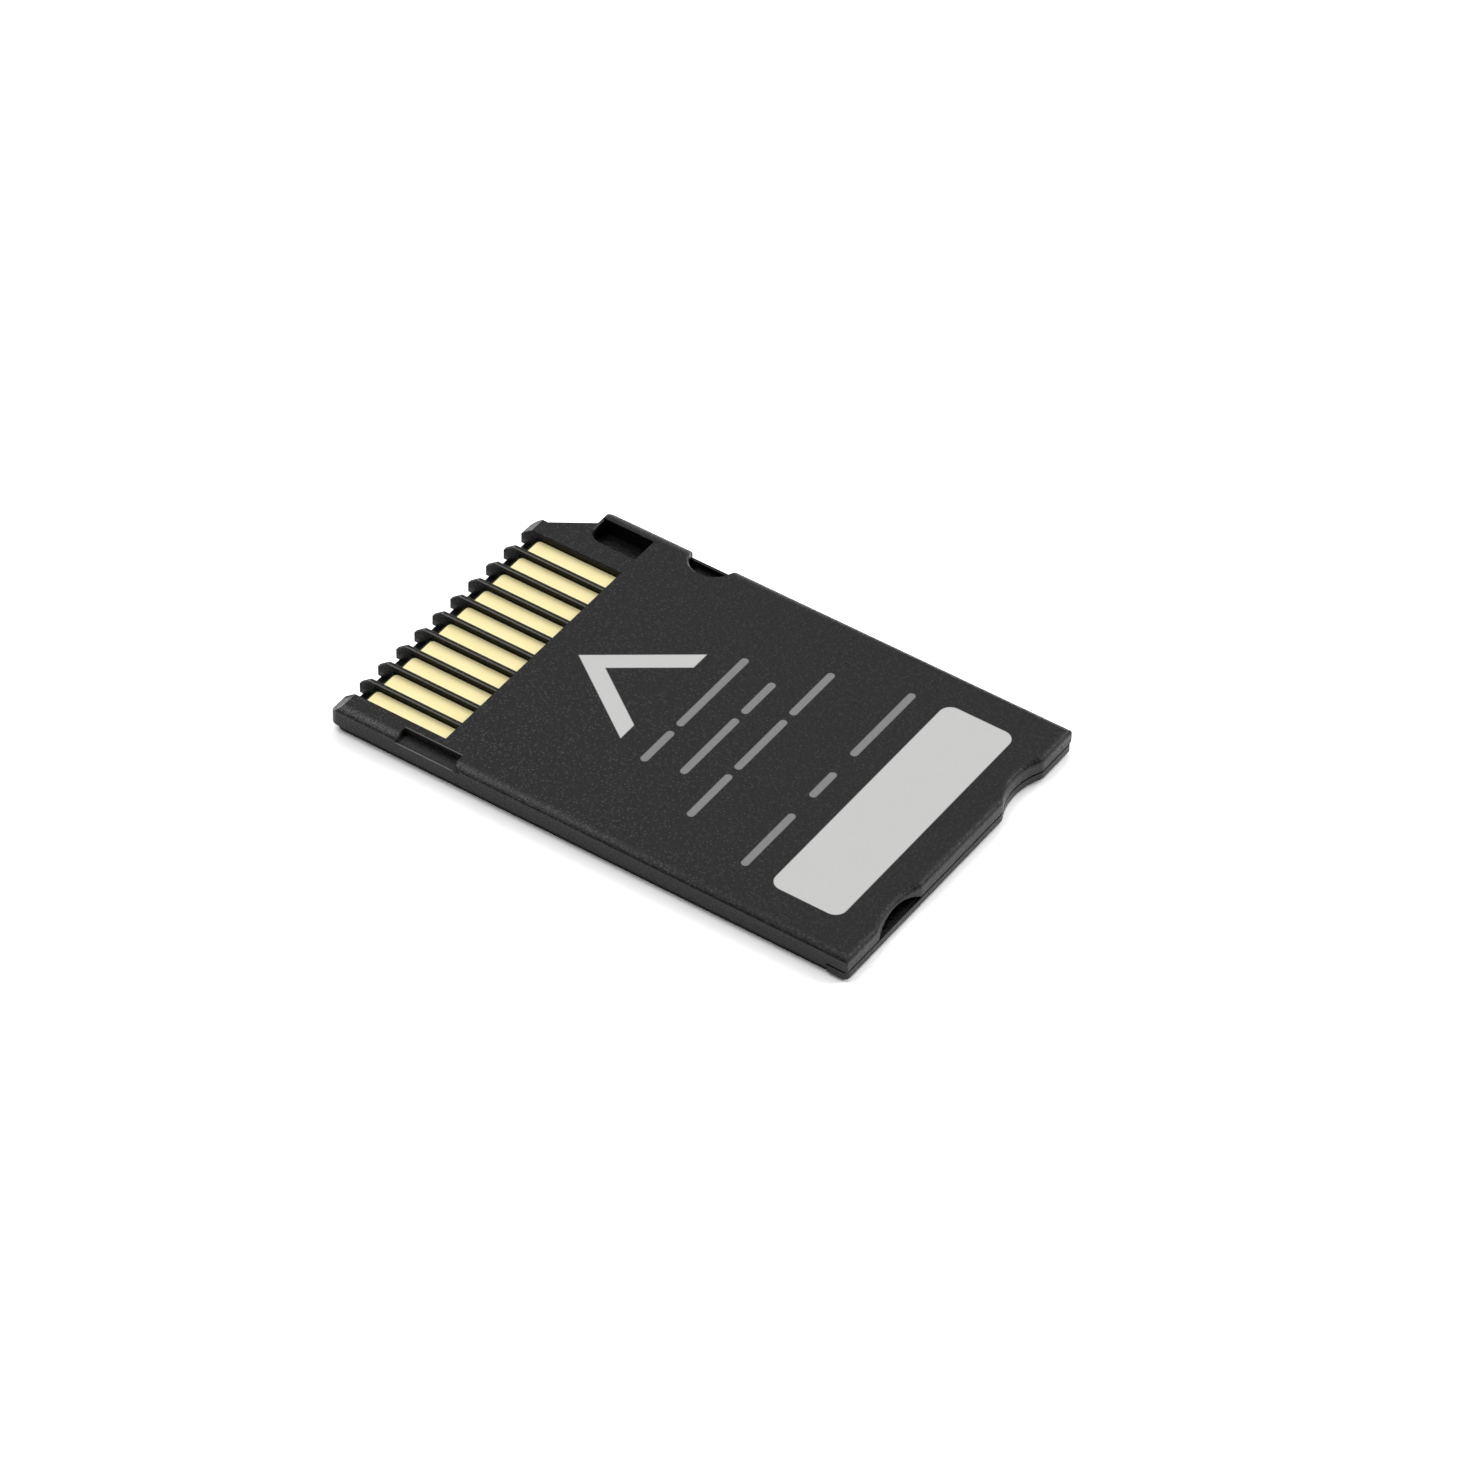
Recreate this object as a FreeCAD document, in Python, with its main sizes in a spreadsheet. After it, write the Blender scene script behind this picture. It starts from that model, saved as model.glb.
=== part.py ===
import FreeCAD, Part
import os
import Sketcher

# A stick-format memory card, 31 x 20 x 1.6 mm, lying with its label side down and its contacts up.
# Origin at the middle of the label face, +X across the card, +Y towards the contact end, +Z up.
# Two moulded covers close round a circuit board with ten gold contacts on its upper face.

SIZES = [
    ("card_width", 20.0), ("card_length", 31.0), ("card_thickness", 1.6),
    # joint between the two covers
    ("side_joint_height", 0.48), ("rear_joint_height", 0.75),
    ("rear_groove_height", 0.1), ("rear_groove_depth", 0.15),
    ("side_setback", 0.25), ("front_setback", 0.2), ("tail_length", 1.2), ("joint_clearance", 0.02),
    # walls and cavity
    ("contact_skin", 0.38), ("label_skin", 0.3),
    ("side_wall", 1.15), ("rear_wall", 1.5), ("front_wall", 0.95),
    # outer edges
    ("front_corner_radius", 0.5), ("rear_corner_radius", 0.1), ("tail_corner_radius", 0.3),
    ("key_corner_radius", 0.4), ("bevel_width", 0.5), ("bevel_drop", 0.22), ("bevel_radius", 0.68),
    ("lead_in_length", 0.65), ("lead_in_drop", 0.52), ("rear_round", 0.34), ("foot_bevel", 0.22),
    # key corner at the front right
    ("key_side_inset", 2.56), ("key_straight", 1.05), ("key_slope_inset", 1.2), ("key_slope_length", 3.05),
    ("key_taper", 0.1), ("key_taper_length", 3.6), ("key_step_chamfer", 0.2),
    # contact slots and the ribs between them
    ("contact_count", 10), ("rib_width", 0.225), ("rib_edge", 0.05), ("key_wall", 1.077),
    ("second_slot_inset", 2.818), ("first_slot_inset", 1.425), ("slot_length", 6.2),
    # contacts
    ("contact_thickness", 0.03), ("contact_side_gap", 0.045),
    ("contact_front_inset", 1.14), ("contact_rear_gap", 0.03), ("contact_corner", 0.22),
    # lock recess on the left side
    ("recess_width", 0.88), ("recess_depth", 0.36), ("recess_length", 3.5), ("recess_front_inset", 4.1),
    ("recess_lip", 0.5),
    # deep pocket beside the contacts
    ("pocket_width", 1.6), ("pocket_length", 3.05), ("pocket_side_inset", 0.7), ("pocket_depth", 0.92),
    ("pocket_corner", 0.85), ("pocket_bevel", 0.08),
    # half-round notch on the right side
    ("notch_radius", 1.3), ("notch_front_inset", 9.4), ("notch_depth", 0.6), ("notch_bevel", 0.1),
    ("notch_rim", 0.16), ("notch_well_depth", 0.92),
    # finger scallops in the rear edge
    ("right_scallop_radius", 3.8), ("right_scallop_depth", 0.46), ("right_scallop_offset", 5.5),
    ("left_scallop_radius", 5.2), ("left_scallop_depth", 0.34), ("left_scallop_offset", 5.38),
    ("scallop_blend", 0.6),
    ("undercut_width", 3.66), ("undercut_reach", 1.0), ("undercut_roof", 0.3),
    # shallow field for a label, on the underside
    ("label_field_side_inset", 1.8), ("label_field_rear_inset", 3.15), ("label_field_front_inset", 6.35),
    ("label_field_depth", 0.06), ("label_field_corner", 1.0),
    # circuit board
    ("board_thickness", 0.3), ("board_clearance", 0.1), ("bond_thickness", 0.05), ("bond_margin", 0.6),
    ("notch_step_inset", 0.55), ("notch_step_length", 10.25), ("pocket_step_inset", 1.95),
    ("pocket_step_length", 5.75),
    # supports moulded in the label-side cover
    ("rail_width", 0.45), ("rail_end_gap", 0.5), ("support_length", 4.4), ("support_margin", 0.25),
    # memory chip with its leads
    ("lead_row_margin", 0.15), ("memory_thickness", 0.5), ("memory_standoff", 0.05),
    ("memory_rear_gap", 1.5), ("memory_draft", 0.08), ("chip_spacing", 0.7),
    ("lead_count", 24), ("lead_pitch", 0.5), ("lead_width", 0.2), ("lead_thickness", 0.1),
    ("lead_reach", 0.8), ("lead_foot", 0.4), ("lead_shoulder", 0.2),
    # controller chip and the small parts round it
    ("controller_side", 4.4), ("controller_thickness", 0.45), ("controller_front_inset", 8.9),
    ("controller_shift", 1.0), ("controller_draft", 0.06), ("solder_gap", 0.02),
    ("chip_part_length", 1.0), ("chip_part_width", 0.5), ("capacitor_height", 0.45),
    ("resistor_height", 0.32), ("end_cap_length", 0.22), ("end_cap_step", 0.02),
    ("small_part_pitch_across", 1.5), ("small_part_pitch_along", 1.3), ("small_part_gap", 1.2),
]

doc = FreeCAD.newDocument("memory_card")
sheet = doc.addObject("Spreadsheet::Sheet", "size")
for row, (alias, number) in enumerate(SIZES, start=1):
    sheet.set(f"A{row}", alias)
    sheet.set(f"B{row}", str(number))
    sheet.setAlias(f"B{row}", alias)
doc.recompute()

# Places worked out from the sizes, as expressions.
LEFT = "(-size.card_width / 2)"
RIGHT = "(size.card_width / 2)"
FRONT = "(size.card_length / 2)"
REAR = "(-size.card_length / 2)"
TOP = "size.card_thickness"
CEILING = "(size.card_thickness - size.contact_skin)"
BOARD_TOP = f"({CEILING} - size.bond_thickness)"
BOARD_BOTTOM = f"({BOARD_TOP} - size.board_thickness)"
TAIL_FRONT = f"({REAR} + size.tail_length)"
KEY_SIDE = f"({RIGHT} - size.key_side_inset)"
KEY_SLOPE_END = f"({RIGHT} - size.key_slope_inset)"
KEY_SLOPE_FRONT = f"({FRONT} - size.key_straight)"
KEY_STEP = f"({FRONT} - size.key_slope_length)"
KEY_SHOULDER = f"({RIGHT} - size.key_taper)"
SLOT_REAR = f"({FRONT} - size.slot_length)"
SECOND_SLOT = f"({LEFT} + size.second_slot_inset)"
SLOT_ROW_END = f"({KEY_SIDE} - size.key_wall)"
CONTACT_PITCH = f"(({SLOT_ROW_END} + size.rib_width - {SECOND_SLOT}) / (size.contact_count - 1))"
SLOT_WIDTH = f"({CONTACT_PITCH} - size.rib_width)"
FIRST_SLOT = f"({LEFT} + size.first_slot_inset)"
FIRST_SLOT_END = f"({SECOND_SLOT} - size.rib_width)"
SCALLOPS = {
    side: ((f"{sign}size.{side}_scallop_offset",
            f"({REAR} + size.{side}_scallop_depth - size.{side}_scallop_radius)"),
           f"size.{side}_scallop_radius")
    for side, sign in (("left", "-"), ("right", "+"))}
RECESS_FRONT = f"({FRONT} - size.recess_front_inset)"
POCKET_RIGHT = f"({RIGHT} - size.pocket_side_inset)"
POCKET_FRONT = f"({SLOT_REAR} + size.pocket_length)"
NOTCH_CENTRE = f"({FRONT} - size.notch_front_inset)"
UNDERCUT_RISE = f"({TOP} - size.undercut_roof - size.rear_joint_height)"
UNDERCUT_RADIUS = f"((size.undercut_width ^ 2 / 4 + {UNDERCUT_RISE} ^ 2) / (2 * {UNDERCUT_RISE}))"


def value(expression):
    """The number that an expression on the sheet stands for."""
    return float(sheet.evalExpression(expression))


def origin_plane(body, role):
    return next(plane for plane in body.Origin.OriginFeatures if plane.Role == role)


def new_body(name):
    body = doc.addObject("PartDesign::Body", name)
    body.Label = name
    return body


def new_sketch(body, name, role="XY_Plane", height=None):
    """A sketch on one of the body's own planes, raised by an expression."""
    sketch = body.newObject("Sketcher::SketchObject", name)
    sketch.AttachmentSupport = [(origin_plane(body, role), "")]
    sketch.MapMode = "FlatFace"
    if height:
        sketch.setExpression("AttachmentOffset.Base.z", height)
    return sketch


def fix_point(sketch, geometry, position, place):
    """Ties a point of the sketch to a pair of expressions, measured from the origin."""
    for kind, expression in zip(("DistanceX", "DistanceY"), place):
        number = sketch.addConstraint(
            Sketcher.Constraint(kind, -1, 1, geometry, position, value(expression)))
        sketch.setExpression(f"Constraints[{number}]", expression)


def draw_outline(sketch, places, arcs=None):
    """A closed outline through pairs of expressions, anticlockwise.

    arcs gives the radius of each segment that is an arc: it is hollow, curving into the outline.
    """
    arcs = arcs or {}
    corners = [FreeCAD.Vector(value(across), value(along), 0) for across, along in places]
    count = len(corners)
    first = sketch.GeometryCount
    ends = []
    for number in range(count):
        start, end = corners[number], corners[(number + 1) % count]
        if number in arcs:
            sketch.addGeometry(hollow_arc(start, end, value(arcs[number])))
            ends.append((2, 1))
        else:
            sketch.addGeometry(Part.LineSegment(start, end))
            ends.append((1, 2))
    for number in range(count):
        following = (number + 1) % count
        sketch.addConstraint(Sketcher.Constraint(
            "Coincident", first + number, ends[number][1], first + following, ends[following][0]))
    for number, place in enumerate(places):
        fix_point(sketch, first + number, ends[number][0], place)
    for number, radius in arcs.items():
        size_of = sketch.addConstraint(Sketcher.Constraint("Radius", first + number, value(radius)))
        sketch.setExpression(f"Constraints[{size_of}]", radius)


def hollow_arc(start, end, radius):
    """The arc from start to end that bulges to the left of the way there."""
    chord = end - start
    rise = radius - (radius ** 2 - (chord.Length / 2) ** 2) ** 0.5
    leftwards = FreeCAD.Vector(-chord.y, chord.x, 0).normalize()
    return Part.Arc(start, (start + end) * 0.5 + leftwards * rise, end)


def draw_rectangle(sketch, left, right, rear, front):
    draw_outline(sketch, [(left, rear), (right, rear), (right, front), (left, front)])


def draw_circle(sketch, place, radius):
    centre = FreeCAD.Vector(value(place[0]), value(place[1]), 0)
    circle = Part.Circle(centre, FreeCAD.Vector(0, 0, 1), value(radius))
    number = sketch.addGeometry(circle)
    fix_point(sketch, number, 3, place)
    size_of = sketch.addConstraint(Sketcher.Constraint("Radius", number, value(radius)))
    sketch.setExpression(f"Constraints[{size_of}]", radius)


def pad(body, sketch, name, length, downwards=False):
    feature = body.newObject("PartDesign::Pad", name)
    feature.Profile = sketch
    feature.setExpression("Length", length)
    feature.Reversed = downwards
    body.Tip = feature
    return feature


def pocket(body, sketch, name, length, upwards=False, both_ways=False):
    feature = body.newObject("PartDesign::Pocket", name)
    feature.Profile = sketch
    feature.setExpression("Length", length)
    feature.Reversed = upwards
    if both_ways:
        feature.SideType = "Symmetric"
    body.Tip = feature
    return feature


def mirror_left_right(body, feature, name):
    copy = body.newObject("PartDesign::Mirrored", name)
    copy.Originals = [feature]
    copy.MirrorPlane = (origin_plane(body, "YZ_Plane"), [""])
    body.Tip = copy
    return copy


def round_edges(body, name, radius, chosen, kind="PartDesign::Fillet"):
    """Rounds or chamfers the edges of the body that chosen(edge) picks."""
    doc.recompute()
    base = body.Tip
    names = [f"Edge{number}" for number, edge in enumerate(base.Shape.Edges, start=1) if chosen(edge)]
    if not names:
        raise RuntimeError(f"{body.Label}: no edge for {name}")
    feature = body.newObject(kind, name)
    feature.Base = (base, names)
    feature.setExpression("Radius" if kind.endswith("Fillet") else "Size", radius)
    body.Tip = feature
    return feature


def near(first, second, tolerance=1e-4):
    return abs(first - second) < tolerance


def ends_of(edge):
    return [vertex.Point for vertex in edge.Vertexes]


def is_upright(edge, across, along):
    """True for an upright edge that stands at the given place."""
    points = ends_of(edge)
    return len(points) == 2 and all(near(p.x, across) and near(p.y, along) for p in points)


def is_level(edge, height):
    """True for an edge that lies wholly at one height."""
    box = edge.BoundBox
    return near(box.ZMin, height) and near(box.ZMax, height)


def cavity_places(gap):
    """Outline of the space inside the covers, drawn in by a gap: the board has the same form."""
    left = f"({LEFT} + size.side_wall + {gap})"
    right = f"({RIGHT} - size.side_wall - {gap})"
    rear = f"({REAR} + size.rear_wall + {gap})"
    front = f"({FRONT} - size.front_wall - {gap})"
    beside_notch = f"({right} - size.notch_step_inset)"
    beside_pocket = f"({right} - size.pocket_step_inset)"
    notch_step = f"({front} - size.notch_step_length)"
    pocket_step = f"({front} - size.pocket_step_length)"
    return [(left, rear), (right, rear), (right, notch_step), (beside_notch, notch_step),
            (beside_notch, pocket_step), (beside_pocket, pocket_step), (beside_pocket, front),
            (left, front)]


def corner_choice(places):
    """Picks the upright edges at the given corners."""
    numbers = [(value(across), value(along)) for across, along in places]
    return lambda edge: any(is_upright(edge, x, y) for x, y in numbers)


def make_contact_side_cover():
    """Upper cover: ribbed contact windows, lead-in, key corner, recesses and finger scallops."""
    body = new_body("contact_side_cover")

    outline = new_sketch(body, "cover_outline", height="size.side_joint_height")
    draw_outline(outline, [
        (LEFT, REAR), (RIGHT, REAR), (RIGHT, f"{KEY_STEP} - size.key_taper_length"),
        (KEY_SHOULDER, f"{KEY_STEP} - size.key_step_chamfer"),
        (f"{KEY_SHOULDER} - size.key_step_chamfer", KEY_STEP), (KEY_SLOPE_END, KEY_STEP),
        (KEY_SIDE, KEY_SLOPE_FRONT), (KEY_SIDE, FRONT), (LEFT, FRONT)])
    pad(body, outline, "cover_block", f"{TOP} - size.side_joint_height")
    round_edges(body, "front_corner", "size.front_corner_radius", corner_choice([(LEFT, FRONT)]))
    round_edges(body, "key_corner", "size.key_corner_radius", corner_choice([(KEY_SIDE, FRONT)]))

    # Finger scallops: both are arcs in the rear edge.
    scallops = new_sketch(body, "scallop_arcs", height=TOP)
    for side in ("left", "right"):
        draw_circle(scallops, *SCALLOPS[side])
    pocket(body, scallops, "scallops", "size.card_thickness")
    round_edges(body, "scallop_ends", "size.scallop_blend",
                lambda edge: is_scallop_end(edge, "left") or is_scallop_end(edge, "right"))
    edge_zone = value(f"{REAR} + 2 * size.right_scallop_depth")
    round_edges(body, "rear_edge", "size.rear_round",
                lambda edge: is_level(edge, value(TOP)) and edge.BoundBox.YMax < edge_zone)
    round_edges(body, "rear_corners", "size.rear_corner_radius",
                corner_choice([(LEFT, REAR), (RIGHT, REAR)]))

    # Long upper edges: a wide, shallow arc that runs the length of the card.
    bevel = new_sketch(body, "side_bevel", "XZ_Plane")
    draw_outline(bevel, [
        (LEFT, f"{TOP} - size.bevel_drop"), (f"{LEFT} + size.bevel_width", TOP),
        (f"{LEFT} + size.bevel_width", f"{TOP} + size.bevel_width"),
        (f"{LEFT} - size.bevel_width", f"{TOP} + size.bevel_width"),
        (f"{LEFT} - size.bevel_width", f"{TOP} - size.bevel_drop")], {0: "size.bevel_radius"})
    cut = pocket(body, bevel, "left_bevel", "2 * size.card_length", both_ways=True)
    mirror_left_right(body, cut, "right_bevel")

    # Front upper edge: the slope that leads the card into its slot.
    lead_in = new_sketch(body, "lead_in_profile", "YZ_Plane")
    draw_outline(lead_in, [
        (f"{FRONT} - size.lead_in_length", TOP), (FRONT, f"{TOP} - size.lead_in_drop"),
        (f"{FRONT} + size.lead_in_length", f"{TOP} - size.lead_in_drop"),
        (f"{FRONT} + size.lead_in_length", f"{TOP} + size.lead_in_drop"),
        (f"{FRONT} - size.lead_in_length", f"{TOP} + size.lead_in_drop")])
    pocket(body, lead_in, "lead_in", "2 * size.card_width", both_ways=True)

    # The rear joint stands higher than the side joint, so the cover steps up over the tail.
    step = new_sketch(body, "rear_step", height="size.side_joint_height")
    draw_rectangle(step, f"2 * {LEFT}", f"2 * {RIGHT}", f"2 * {REAR}", TAIL_FRONT)
    pocket(body, step, "tail_step", "size.rear_joint_height - size.side_joint_height", upwards=True)

    # The left scallop opens into a deeper space under the skin, with an arched roof.
    undercut = new_sketch(body, "undercut_profile", "XZ_Plane", f"-({REAR} + size.undercut_reach)")
    draw_circle(undercut, ("-size.left_scallop_offset",
                           f"{TOP} - size.undercut_roof - {UNDERCUT_RADIUS}"), UNDERCUT_RADIUS)
    pocket(body, undercut, "undercut", "2 * size.undercut_reach", upwards=True)

    # Space for the board.
    cavity = new_sketch(body, "cavity_outline", height="size.side_joint_height")
    draw_outline(cavity, cavity_places("0"))
    pocket(body, cavity, "cavity", f"{CEILING} - size.side_joint_height", upwards=True)

    # Ten slots, open at the front; the first is narrower and the rest repeat at the pitch.
    cut_length = "size.slot_length + size.lead_in_length"
    first = new_sketch(body, "first_slot_profile", "XZ_Plane", f"-{SLOT_REAR}")
    draw_slot(first, FIRST_SLOT, FIRST_SLOT_END)
    pocket(body, first, "first_slot", cut_length)
    profile = new_sketch(body, "slot_profile", "XZ_Plane", f"-{SLOT_REAR}")
    draw_slot(profile, SECOND_SLOT, f"{SECOND_SLOT} + {SLOT_WIDTH}")
    slot = pocket(body, profile, "slot", cut_length)
    row = body.newObject("PartDesign::LinearPattern", "slot_row")
    row.Originals = [slot]
    row.Direction = (profile, ["H_Axis"])
    row.setExpression("Length", f"{CONTACT_PITCH} * (size.contact_count - 2)")
    row.setExpression("Occurrences", "size.contact_count - 1")
    body.Tip = row

    # Lock recess, open to the left side.
    recess = new_sketch(body, "recess_outline", height=TOP)
    recess_rear = f"{RECESS_FRONT} - size.recess_length"
    draw_outline(recess, [
        (f"{LEFT} + size.recess_lip", recess_rear), (f"{LEFT} + size.recess_width", recess_rear),
        (f"{LEFT} + size.recess_width", RECESS_FRONT), (f"{LEFT} - size.recess_width", RECESS_FRONT),
        (f"{LEFT} - size.recess_width", f"{recess_rear} - size.recess_lip"),
        (LEFT, f"{recess_rear} - size.recess_lip")], {5: "size.recess_lip"})
    pocket(body, recess, "lock_recess", "size.recess_depth")

    # Deep pocket between the last contact and the right side.
    well = new_sketch(body, "pocket_outline", height=TOP)
    draw_rectangle(well, f"{POCKET_RIGHT} - size.pocket_width", POCKET_RIGHT, SLOT_REAR, POCKET_FRONT)
    pocket(body, well, "side_pocket", "size.pocket_depth")
    pocket_left = value(f"{POCKET_RIGHT} - size.pocket_width")
    round_edges(body, "pocket_corner", "size.pocket_corner",
                lambda edge: is_upright(edge, pocket_left, value(POCKET_FRONT)))
    round_edges(body, "pocket_edge", "size.pocket_bevel",
                lambda edge: is_level(edge, value(TOP)) and near(edge.BoundBox.XMin, pocket_left)
                and near(edge.BoundBox.XMax, pocket_left), "PartDesign::Chamfer")

    # Half-round notch on the right side: a well behind a lower rim.
    notch = new_sketch(body, "notch_outline", height=TOP)
    draw_circle(notch, (RIGHT, NOTCH_CENTRE), "size.notch_radius")
    pocket(body, notch, "side_notch", "size.notch_well_depth")
    rim = new_sketch(body, "notch_rim_outline", height="size.side_joint_height")
    draw_rectangle(rim, f"{RIGHT} - size.notch_rim", RIGHT,
                   f"{NOTCH_CENTRE} - size.notch_radius", f"{NOTCH_CENTRE} + size.notch_radius")
    pad(body, rim, "notch_rim_bar", f"{TOP} - size.notch_depth - size.side_joint_height")
    round_edges(body, "notch_edge", "size.notch_bevel", is_notch_rim, "PartDesign::Chamfer")
    return body


def draw_slot(sketch, left, right):
    """Section of a contact slot: straight walls with a small bevel along their upper edges."""
    draw_outline(sketch, [
        (left, "0"), (right, "0"), (right, f"{TOP} - size.rib_edge"),
        (f"{right} + 2 * size.rib_edge", f"{TOP} + size.rib_edge"),
        (f"{left} - 2 * size.rib_edge", f"{TOP} + size.rib_edge"), (left, f"{TOP} - size.rib_edge")])


def is_scallop_end(edge, side):
    """Upright edges where a scallop's arc leaves the straight rear edge."""
    radius, depth, offset = (value(f"size.{side}_scallop_{word}") for word in ("radius", "depth", "offset"))
    half_chord = (radius ** 2 - (radius - depth) ** 2) ** 0.5
    middle = -offset if side == "left" else offset
    return any(is_upright(edge, middle + way * half_chord, value(REAR)) for way in (-1, 1))


def is_notch_rim(edge):
    """The level arc round the notch, at the top face."""
    return (is_level(edge, value(TOP)) and isinstance(edge.Curve, Part.Circle)
            and near(edge.Curve.Radius, value("size.notch_radius")))


def make_label_side_cover():
    """Lower cover: a tray that carries the board, with a thick tail along the rear edge."""
    body = new_body("label_side_cover")
    plate_left = f"({LEFT} + size.side_setback)"
    plate_right = f"({RIGHT} - size.side_setback)"
    plate_front = f"({FRONT} - size.front_setback)"
    key_side = f"({KEY_SIDE} - size.front_setback)"
    tail_inner = f"({TAIL_FRONT} - size.joint_clearance)"

    plate = new_sketch(body, "plate_outline")
    draw_outline(plate, [
        (plate_left, tail_inner), (plate_right, tail_inner),
        (plate_right, f"{KEY_STEP} - size.front_setback"),
        (f"{KEY_SLOPE_END} - size.front_setback / 2", f"{KEY_STEP} - size.front_setback"),
        (key_side, f"{KEY_SLOPE_FRONT} - size.front_setback / 2"), (key_side, plate_front),
        (plate_left, plate_front)])
    pad(body, plate, "plate", "size.side_joint_height")
    round_edges(body, "plate_corner", "size.front_corner_radius",
                corner_choice([(plate_left, plate_front)]))

    tail = new_sketch(body, "tail_outline")
    draw_rectangle(tail, LEFT, RIGHT, REAR, tail_inner)
    pad(body, tail, "tail", "size.rear_joint_height - size.rear_groove_height")
    land = new_sketch(body, "land_outline", height="size.side_joint_height / 2")
    draw_rectangle(land, f"{LEFT} + size.rear_groove_depth", f"{RIGHT} - size.rear_groove_depth",
                   f"{REAR} + size.rear_groove_depth", tail_inner)
    pad(body, land, "tail_land", "size.rear_joint_height - size.side_joint_height / 2")

    scallop = new_sketch(body, "scallop_arc", height="size.rear_joint_height")
    draw_circle(scallop, *SCALLOPS["right"])
    pocket(body, scallop, "scallop", "size.rear_joint_height")
    round_edges(body, "scallop_ends", "size.scallop_blend",
                lambda edge: is_scallop_end(edge, "right"))
    land_scallop = new_sketch(body, "land_scallop_arc", height="size.rear_joint_height")
    draw_circle(land_scallop, SCALLOPS["right"][0], "size.right_scallop_radius + size.rear_groove_depth")
    pocket(body, land_scallop, "land_scallop", "size.rear_groove_height")
    round_edges(body, "tail_corners", "size.tail_corner_radius",
                corner_choice([(LEFT, REAR), (RIGHT, REAR)]))
    round_edges(body, "foot_edges", "size.foot_bevel",
                lambda edge: is_level(edge, 0) and edge.BoundBox.YMax < value(TAIL_FRONT)
                and edge.BoundBox.YMin < value(f"{REAR} + size.tail_length / 2"),
                "PartDesign::Chamfer")

    tray = new_sketch(body, "tray_outline", height="size.side_joint_height")
    draw_outline(tray, cavity_places("0"))
    pocket(body, tray, "tray", "size.side_joint_height - size.label_skin")

    # Rails under the long edges of the board and a block under its contacts.
    inner_left = f"({LEFT} + size.side_wall + size.board_clearance)"
    inner_right = f"({RIGHT} - size.side_wall - size.board_clearance)"
    inner_rear = f"({REAR} + size.rear_wall + size.rail_end_gap)"
    inner_front = f"({FRONT} - size.front_wall - size.rail_end_gap)"
    notch_step = f"({FRONT} - size.front_wall - size.notch_step_length)"
    rail_height = f"{BOARD_BOTTOM} - size.label_skin / 2"
    rails = new_sketch(body, "rail_outlines", height="size.label_skin / 2")
    draw_rectangle(rails, inner_left, f"{inner_left} + size.rail_width", inner_rear, inner_front)
    draw_rectangle(rails, f"{inner_right} - size.rail_width", inner_right, inner_rear,
                   f"{notch_step} - size.rail_end_gap")
    pad(body, rails, "rails", rail_height)
    support = new_sketch(body, "support_outline", height="size.label_skin / 2")
    draw_rectangle(support, f"{inner_left} + size.rail_width / 2",
                   f"{inner_right} - size.pocket_step_inset - size.support_margin",
                   f"{inner_front} - size.support_length", inner_front)
    pad(body, support, "contact_support", rail_height)

    # Shallow field on the underside, as moulded to take a label.
    field = new_sketch(body, "label_field_outline")
    half_field = f"({RIGHT} - size.label_field_side_inset)"
    field_rear = f"({REAR} + size.label_field_rear_inset)"
    field_front = f"({FRONT} - size.label_field_front_inset)"
    draw_rectangle(field, f"-{half_field}", half_field, field_rear, field_front)
    pocket(body, field, "label_field", "size.label_field_depth", upwards=True)
    round_edges(body, "label_field_corners", "size.label_field_corner", corner_choice(
        [(across, along) for across in (f"-{half_field}", half_field)
         for along in (field_rear, field_front)]))
    return body


def make_circuit_board():
    body = new_body("circuit_board")
    outline = new_sketch(body, "board_outline", height=BOARD_BOTTOM)
    draw_outline(outline, cavity_places("size.board_clearance"))
    pad(body, outline, "board_plate", "size.board_thickness")
    return body


def make_bonding_film():
    """Adhesive film that holds the board to the contact-side cover, behind the contacts."""
    body = new_body("bonding_film")
    margin = "(size.board_clearance + size.bond_margin)"
    across = f"({RIGHT} - size.side_wall - {margin})"
    rear = f"({REAR} + size.rear_wall + {margin})"
    front = f"({SLOT_REAR} - size.bond_margin)"
    notch_step = f"({FRONT} - size.front_wall - size.notch_step_length - {margin})"
    pocket_step = f"({FRONT} - size.front_wall - size.pocket_step_length - {margin})"
    outline = new_sketch(body, "film_outline", height=BOARD_TOP)
    draw_outline(outline, [
        (f"-{across}", rear), (across, rear), (across, notch_step),
        (f"{across} - size.notch_step_inset", notch_step),
        (f"{across} - size.notch_step_inset", pocket_step),
        (f"{across} - size.pocket_step_inset", pocket_step),
        (f"{across} - size.pocket_step_inset", front), (f"-{across}", front)])
    pad(body, outline, "film", "size.bond_thickness")
    return body


def make_contact(number):
    """One gold contact on the board, in its slot."""
    body = new_body(f"contact_{number + 1:02d}")
    if number == 0:
        left = f"({FIRST_SLOT} + size.contact_side_gap)"
        right = f"({FIRST_SLOT_END} - size.contact_side_gap)"
    else:
        left = f"({SECOND_SLOT} + {number - 1} * {CONTACT_PITCH} + size.contact_side_gap)"
        right = f"({left} + {SLOT_WIDTH} - 2 * size.contact_side_gap)"
    front = f"({FRONT} - size.contact_front_inset)"
    outline = new_sketch(body, f"contact_outline_{number + 1:02d}", height=BOARD_TOP)
    draw_rectangle(outline, left, right, f"{SLOT_REAR} + size.contact_rear_gap", front)
    pad(body, outline, f"contact_plate_{number + 1:02d}", "size.contact_thickness")
    round_edges(body, f"contact_corners_{number + 1:02d}", "size.contact_corner",
                corner_choice([(left, front), (right, front)]))
    return body


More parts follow.
